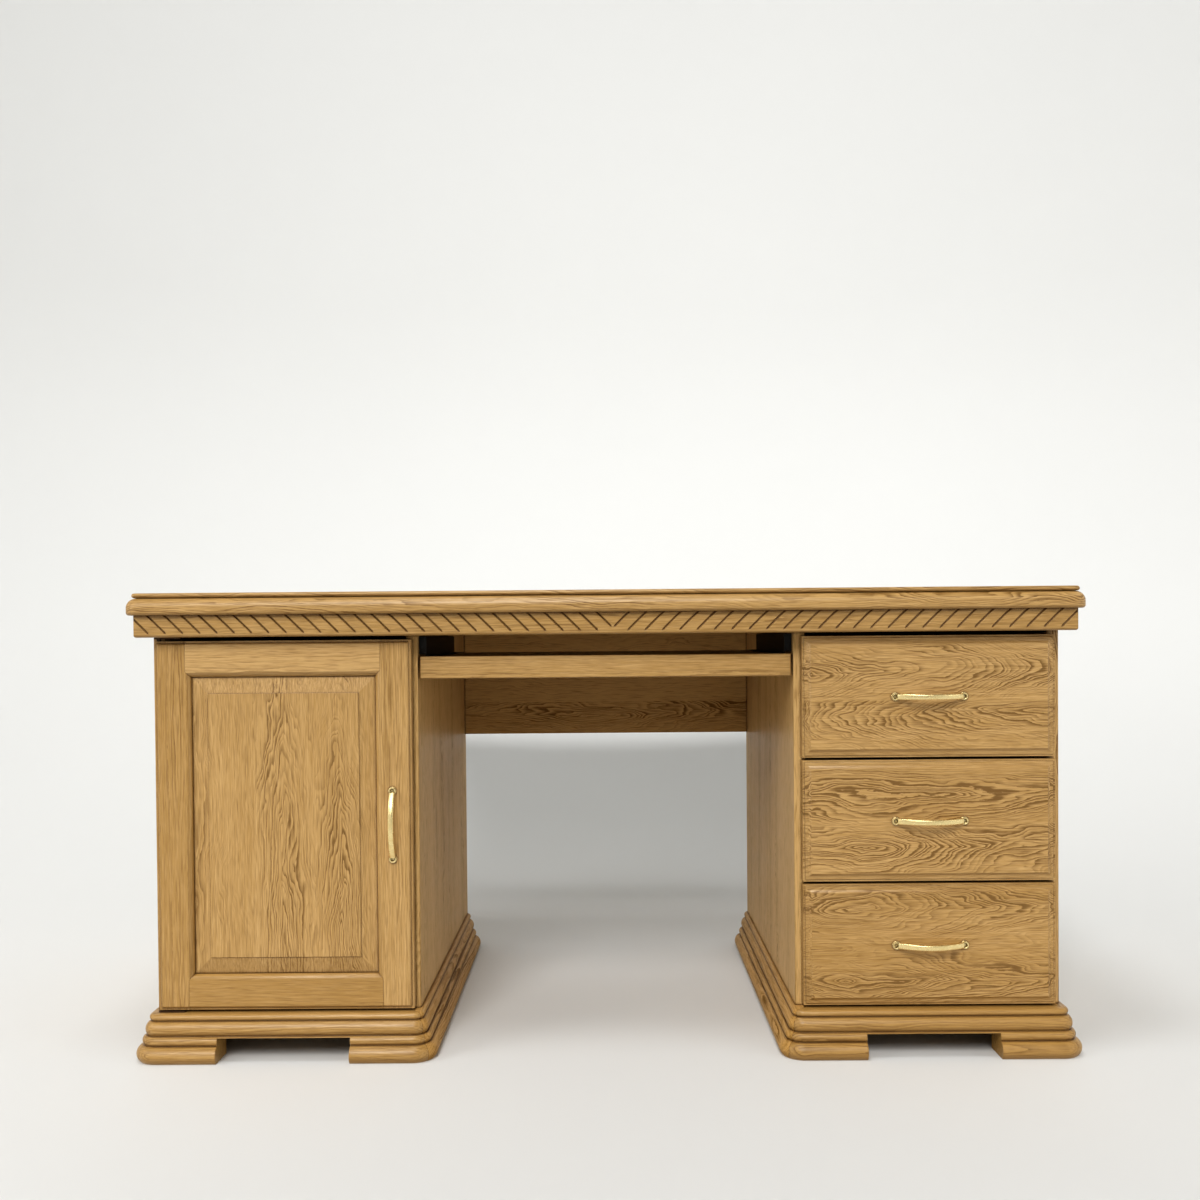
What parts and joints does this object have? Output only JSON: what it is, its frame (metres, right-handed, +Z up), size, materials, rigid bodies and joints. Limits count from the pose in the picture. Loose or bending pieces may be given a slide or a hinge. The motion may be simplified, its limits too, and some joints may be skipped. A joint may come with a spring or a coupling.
{
  "type": "pedestal desk",
  "caption": "Oak pedestal desk with moulded top, carved frieze, door cabinet, drawers, sliding keyboard tray and stepped plinths.",
  "frame": {"origin": "on the floor, under the middle of the desktop", "axes": "+X to the right seen from the sitter's side, +Y from the sitter's side to the back, +Z up"},
  "size_m": [1.6, 0.78, 0.788],
  "materials": {
    "oak": "satin lacquered golden oak",
    "drawer_wood": "plain sanded hardwood",
    "brass": "polished",
    "black_steel": "black coated steel",
    "steel": "zinc plated",
    "catch_plastic": "brown moulded"
  },
  "bodies": {
    "bottom_drawer": {"bottom_drawer_back": "drawer_wood", "bottom_drawer_bottom": "drawer_wood", "bottom_drawer_front": "oak", "bottom_drawer_handle": "brass", "bottom_drawer_left_side": "drawer_wood", "bottom_drawer_right_side": "drawer_wood"},
    "carcass": {"cabinet_shelf": "oak", "desktop": "oak", "door_catch": "catch_plastic", "door_pivots": "steel", "drawer_runners": "drawer_wood", "frieze_back": "oak", "frieze_front": "oak", "frieze_left": "oak", "frieze_right": "oak", "front_rail": "oak", "left_back": "oak", "left_bottom": "oak", "left_inner_side": "oak", "left_outer_side": "oak", "left_plinth_back": "oak", "left_plinth_front": "oak", "left_plinth_inner": "oak", "left_plinth_outer": "oak", "left_top": "oak", "modesty_panel": "oak", "right_back": "oak", "right_bottom": "oak", "right_inner_side": "oak", "right_outer_side": "oak", "right_plinth_back": "oak", "right_plinth_front": "oak", "right_plinth_inner": "oak", "right_plinth_outer": "oak", "right_top": "oak", "shelf_pins": "steel", "tray_rails": "black_steel"},
    "door": {"door_bottom_rail": "oak", "door_catch_plate": "steel", "door_handle": "brass", "door_handle_stile": "oak", "door_hinge_stile": "oak", "door_panel": "oak", "door_top_rail": "oak"},
    "middle_drawer": {"middle_drawer_back": "drawer_wood", "middle_drawer_bottom": "drawer_wood", "middle_drawer_front": "oak", "middle_drawer_handle": "brass", "middle_drawer_left_side": "drawer_wood", "middle_drawer_right_side": "drawer_wood"},
    "top_drawer": {"top_drawer_back": "drawer_wood", "top_drawer_bottom": "drawer_wood", "top_drawer_front": "oak", "top_drawer_handle": "brass", "top_drawer_left_side": "drawer_wood", "top_drawer_right_side": "drawer_wood"},
    "tray": {"tray_board": "oak", "tray_front": "oak", "tray_slides": "black_steel"}
  },
  "joints": [
    {"name": "door_hinge", "type": "hinge", "parent": "carcass", "child": "door", "pos_m": [-0.7555, -0.34401, 0.082], "axis": [0, 0, -1], "range_deg": [0, 110]},
    {"name": "top_drawer_slide", "type": "slide", "parent": "carcass", "child": "top_drawer", "axis": [0, -1, 0], "range_m": [0, 0.4]},
    {"name": "middle_drawer_slide", "type": "slide", "parent": "carcass", "child": "middle_drawer", "axis": [0, -1, 0], "range_m": [0, 0.4]},
    {"name": "bottom_drawer_slide", "type": "slide", "parent": "carcass", "child": "bottom_drawer", "axis": [0, -1, 0], "range_m": [0, 0.4]},
    {"name": "tray_slide", "type": "slide", "parent": "carcass", "child": "tray", "axis": [0, -1, 0], "range_m": [0, 0.28]}
  ]
}
